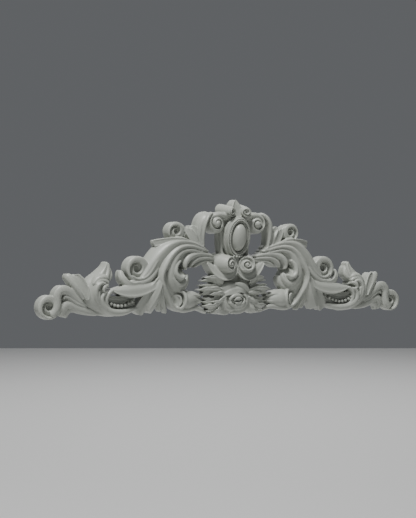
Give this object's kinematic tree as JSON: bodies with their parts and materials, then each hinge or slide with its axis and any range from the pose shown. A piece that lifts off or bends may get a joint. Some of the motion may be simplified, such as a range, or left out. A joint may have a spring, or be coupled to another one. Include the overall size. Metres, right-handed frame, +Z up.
{
  "type": "decorative onlay",
  "caption": "Pierced relief onlay of mirrored acanthus scrolls around a beaded oval cabochon, with a rose below it and a flat back for gluing to a wall or panel.",
  "frame": {"origin": "on the flat back, behind the foot of the oval cartouche, on the middle line", "axes": "+X along the length to the onlay's right as seen from the front, +Y into the wall it is fixed to, +Z up; the carved face looks along -Y"},
  "size_m": [0.5994, 0.0362, 0.1656],
  "materials": {
    "paint": "satin grey-green primer on a cast moulding"
  },
  "bodies": {
    "root": {"onlay": "paint"}
  },
  "joints": []
}
